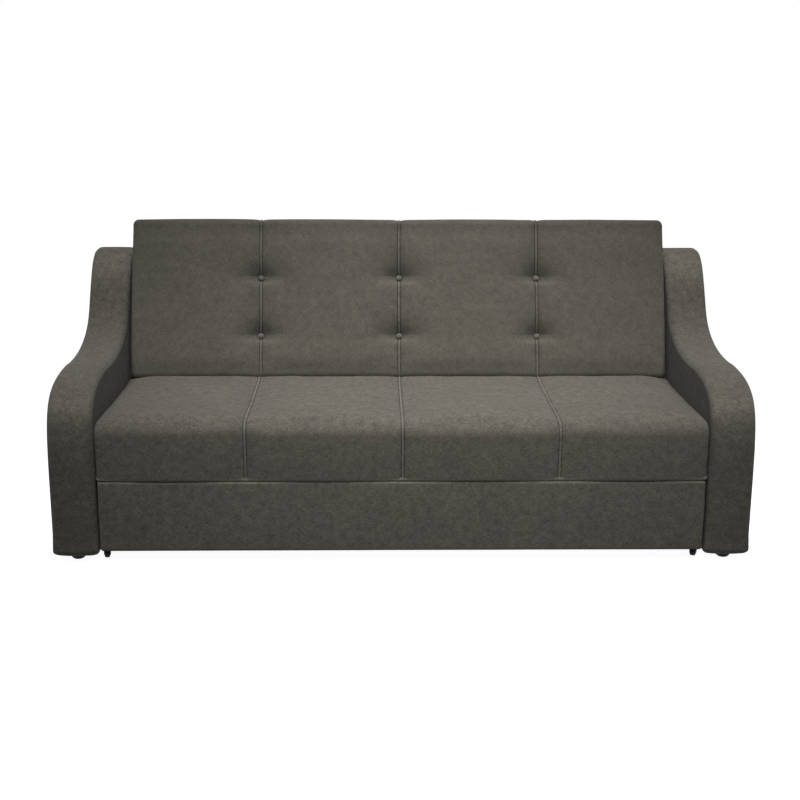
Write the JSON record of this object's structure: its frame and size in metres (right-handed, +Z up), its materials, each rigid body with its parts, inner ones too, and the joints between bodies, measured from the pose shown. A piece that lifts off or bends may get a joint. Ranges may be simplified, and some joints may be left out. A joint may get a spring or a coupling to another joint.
{
  "type": "sleeper sofa with pull out bed",
  "caption": "Upholstered sofa with wave-shaped arms and a buttoned back; the seat rolls forward on castors while the back lies down behind it to make a flat bed",
  "frame": {"origin": "centre of the footprint at floor level, midway between the arms and midway between their front and rear faces", "axes": "+X along the width towards the right arm as seen from the front, +Y from the front towards the back, +Z up"},
  "size_m": [2.19, 0.975, 0.9717],
  "materials": {
    "upholstery": "plain melange weave in grey-brown",
    "lining": "black non-woven lining cloth over board",
    "timber": "planed softwood, unfinished",
    "plywood": "sanded plywood, unfinished",
    "black_steel": "black powder coat",
    "zinc_steel": "zinc-plated steel",
    "black_plastic": "black moulded plastic",
    "castor_tread": "black moulded plastic wheel",
    "nylon": "dark grey nylon"
  },
  "bodies": {
    "base": {"arm_left": "upholstery", "arm_right": "upholstery", "foot_front_left": "black_plastic", "foot_rear_left": "black_plastic", "foot_front_right": "black_plastic", "foot_rear_right": "black_plastic", "rear_panel": "lining", "rear_stretcher": "timber", "bed_support_beam": "timber", "runner_left": "timber", "runner_right": "timber", "guide_left": "black_steel", "guide_right": "black_steel"},
    "seat": {"seat_front_rail": "timber", "seat_rear_rail": "timber", "seat_side_rail_left": "timber", "seat_side_rail_right": "timber", "seat_cross_rail_1": "timber", "seat_cross_rail_2": "timber", "seat_deck": "plywood", "seat_cushion": "upholstery", "front_panel": "upholstery", "front_panel_board": "plywood", "front_post_left": "timber", "front_post_right": "timber", "castor_plate_left": "black_steel", "castor_plate_right": "black_steel", "roller_bracket_left": "zinc_steel", "roller_bracket_right": "zinc_steel", "seat_hinge_leaf_1": "zinc_steel", "seat_hinge_leaf_2": "zinc_steel", "seat_hinge_leaf_3": "zinc_steel"},
    "back": {"back_bottom_rail": "timber", "back_top_rail": "timber", "back_stile_left": "timber", "back_stile_right": "timber", "back_mid_stile_1": "timber", "back_mid_stile_2": "timber", "back_mid_stile_3": "timber", "back_rear_cover": "lining", "back_cushion": "upholstery", "back_button_1": "upholstery", "back_button_2": "upholstery", "back_button_3": "upholstery", "back_button_4": "upholstery", "back_button_5": "upholstery", "back_button_6": "upholstery", "back_hinge_leaf_1": "zinc_steel", "back_hinge_leaf_2": "zinc_steel", "back_hinge_leaf_3": "zinc_steel", "guide_stud_left": "nylon", "guide_stud_right": "nylon"},
    "castor_left": {"castor_fork_left": "black_plastic"},
    "castor_right": {"castor_fork_right": "black_plastic"},
    "wheel_left": {"castor_wheel_left": "castor_tread"},
    "wheel_right": {"castor_wheel_right": "castor_tread"},
    "roller_left": {"rear_roller_left": "nylon"},
    "roller_right": {"rear_roller_right": "nylon"}
  },
  "joints": [
    {"name": "seat_pull", "type": "slide", "parent": "base", "child": "seat", "axis": [0, -1, 0], "range_m": [0, 0.43]},
    {"name": "back_recline", "type": "hinge", "parent": "seat", "child": "back", "pos_m": [0, 0.1625, 0.43], "axis": [-1, 0, 0], "range_deg": [0, 70]},
    {"name": "castor_swivel_left", "type": "hinge", "parent": "seat", "child": "castor_left", "pos_m": [-0.935, -0.4255, 0.035], "axis": [0, 0, 1], "continuous": true},
    {"name": "castor_swivel_right", "type": "hinge", "parent": "seat", "child": "castor_right", "pos_m": [0.935, -0.4255, 0.035], "axis": [0, 0, 1], "continuous": true},
    {"name": "castor_roll_left", "type": "hinge", "parent": "castor_left", "child": "wheel_left", "pos_m": [-0.935, -0.4325, 0.013], "axis": [1, 0, 0], "continuous": true},
    {"name": "castor_roll_right", "type": "hinge", "parent": "castor_right", "child": "wheel_right", "pos_m": [0.93098, -0.43123, 0.013], "axis": [0.8192, -0.5736, 0], "continuous": true},
    {"name": "rear_roll_left", "type": "hinge", "parent": "seat", "child": "roller_left", "pos_m": [-0.936, 0.1185, 0.236], "axis": [1, 0, 0], "continuous": true},
    {"name": "rear_roll_right", "type": "hinge", "parent": "seat", "child": "roller_right", "pos_m": [0.936, 0.1185, 0.236], "axis": [1, 0, 0], "continuous": true}
  ],
  "couplings": [
    {"joint": "back_recline", "follows": "seat_pull", "rad_per_m": 2.8412},
    {"joint": "rear_roll_left", "follows": "seat_pull", "rad_per_m": 71.429},
    {"joint": "rear_roll_right", "follows": "seat_pull", "rad_per_m": 71.429}
  ]
}
